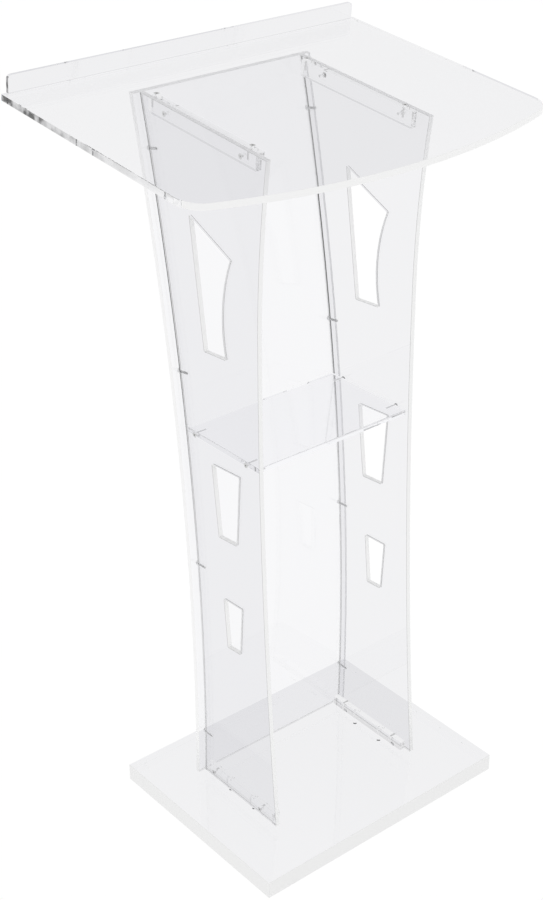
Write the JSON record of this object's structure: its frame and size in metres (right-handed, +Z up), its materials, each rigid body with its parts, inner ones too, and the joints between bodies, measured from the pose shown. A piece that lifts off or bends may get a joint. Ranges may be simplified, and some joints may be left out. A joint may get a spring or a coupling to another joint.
{
  "type": "presentation lectern",
  "caption": "Free-standing clear acrylic lectern: a thick base, two waisted side panels with window cut-outs, a bent front panel, a shelf and a sloping desk with an edge strip.",
  "frame": {"origin": "centre of the base plate's underside, on the floor", "axes": "+Z up; +X across the lectern, square to the side panels; +Y from the reader's open side towards the audience, where the bent front panel and the desk's strip are"},
  "size_m": [0.642, 0.4734, 1.1868],
  "materials": {
    "sheet_acrylic": "clear cast acrylic sheet, polished faces and eased edges",
    "thick_acrylic": "thicker clear cast acrylic sheet, polished faces and eased edges",
    "screw_steel": "bright plated steel"
  },
  "bodies": {
    "root": {"base_plate": "thick_acrylic", "side_panel_left": "sheet_acrylic", "side_panel_right": "sheet_acrylic", "front_panel": "sheet_acrylic", "shelf": "sheet_acrylic", "desk_plate": "thick_acrylic", "desk_strip": "thick_acrylic", "top_cleat_left": "sheet_acrylic", "top_cleat_right": "sheet_acrylic", "foot_cleat_left": "sheet_acrylic", "foot_cleat_right": "sheet_acrylic", "front_panel_screws_left": "screw_steel", "front_panel_screws_right": "screw_steel", "shelf_screws_left": "screw_steel", "shelf_screws_right": "screw_steel", "top_cleat_screws_left": "screw_steel", "top_cleat_screws_right": "screw_steel", "foot_cleat_screws_left": "screw_steel", "foot_cleat_screws_right": "screw_steel", "desk_screws_left": "screw_steel", "desk_screws_right": "screw_steel", "base_screws_left": "screw_steel", "base_screws_right": "screw_steel"}
  },
  "joints": []
}
